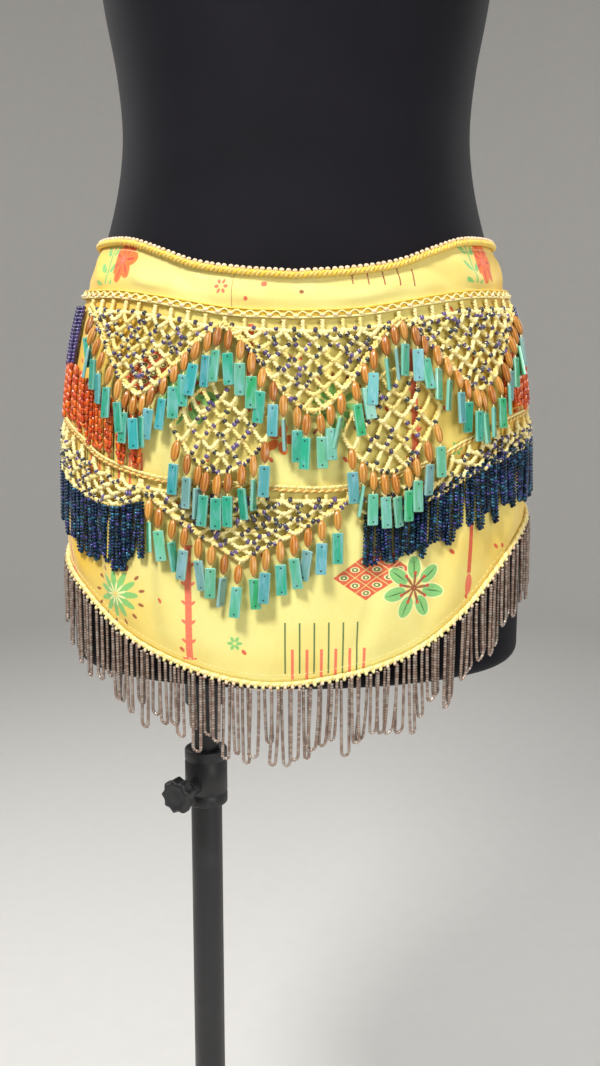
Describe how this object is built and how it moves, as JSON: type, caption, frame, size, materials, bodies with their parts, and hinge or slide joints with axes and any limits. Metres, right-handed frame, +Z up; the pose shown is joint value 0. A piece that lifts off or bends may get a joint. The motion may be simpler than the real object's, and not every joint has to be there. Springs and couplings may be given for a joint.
{
  "type": "belly dance hip belt on a dress form",
  "caption": "Rounded hip belt of printed cloth with crochet lace, bead drops and looped bead fringes, worn on a limbless dress form with a height-adjustable clamped stand.",
  "frame": {"origin": "on the floor, under the centre of the round base", "axes": "+Z up, the belt's front towards -Y, the wearer's left towards +X"},
  "size_m": [0.4, 0.4, 1.56],
  "materials": {
    "form_skin": "matte dark slate coating with a slight sheen",
    "black_metal": "satin black enamel",
    "black_plastic": "moulded black plastic",
    "print_cloth": "plain-weave lemon yellow cotton with a printed flower and stroke pattern",
    "cotton_cord": "twisted yellow cotton cord",
    "picot_trim": "crochet edging in yellow and pinkish cream",
    "crochet_lace": "yellow crochet net with dark seed beads at its knots",
    "bead_drops": "tan oval beads over flat turquoise and green tube beads",
    "blue_beads": "glossy iridescent dark blue seed beads in loops",
    "orange_glass": "clear red-orange glass beads in loops",
    "purple_beads": "glossy violet-blue seed beads in loops",
    "bronze_beads": "rose-bronze silver-lined seed beads in loops"
  },
  "bodies": {
    "stand": {"base_plate": "black_metal", "lower_tube": "black_metal", "clamp_collar": "black_plastic"},
    "knob": {"clamp_knob": "black_plastic"},
    "post": {"upper_tube": "black_metal"},
    "form": {"form_flange": "black_metal", "form_torso": "form_skin", "waist_band": "print_cloth", "skirt_panel": "print_cloth", "top_trim": "cotton_cord", "band_trim": "picot_trim", "low_trim": "cotton_cord", "hem_cord": "cotton_cord", "lace_upper": "crochet_lace", "lace_diamond_left": "crochet_lace", "lace_diamond_right": "crochet_lace", "lace_low_left": "crochet_lace", "lace_low_point": "crochet_lace", "lace_low_right": "crochet_lace", "drops_upper": "bead_drops", "drops_diamond_left": "bead_drops", "drops_diamond_right": "bead_drops", "drops_low": "bead_drops", "blue_fringe_left": "blue_beads", "blue_fringe_right": "blue_beads", "orange_fringe_left": "orange_glass", "orange_fringe_right": "orange_glass", "purple_fringe_left": "purple_beads", "purple_fringe_right": "purple_beads", "hem_fringe": "bronze_beads"}
  },
  "joints": [
    {"name": "height_slide", "type": "slide", "parent": "stand", "child": "post", "axis": [0, 0, 1], "range_m": [0, 0.15]},
    {"name": "form_swivel", "type": "hinge", "parent": "post", "child": "form", "pos_m": [-0.073, 0.02, 0.655], "axis": [0, 0, 1], "continuous": true},
    {"name": "knob_turn", "type": "hinge", "parent": "stand", "child": "knob", "pos_m": [-0.085, -0.00078, 0.59], "axis": [-0.5, -0.866, 0], "continuous": true}
  ]
}
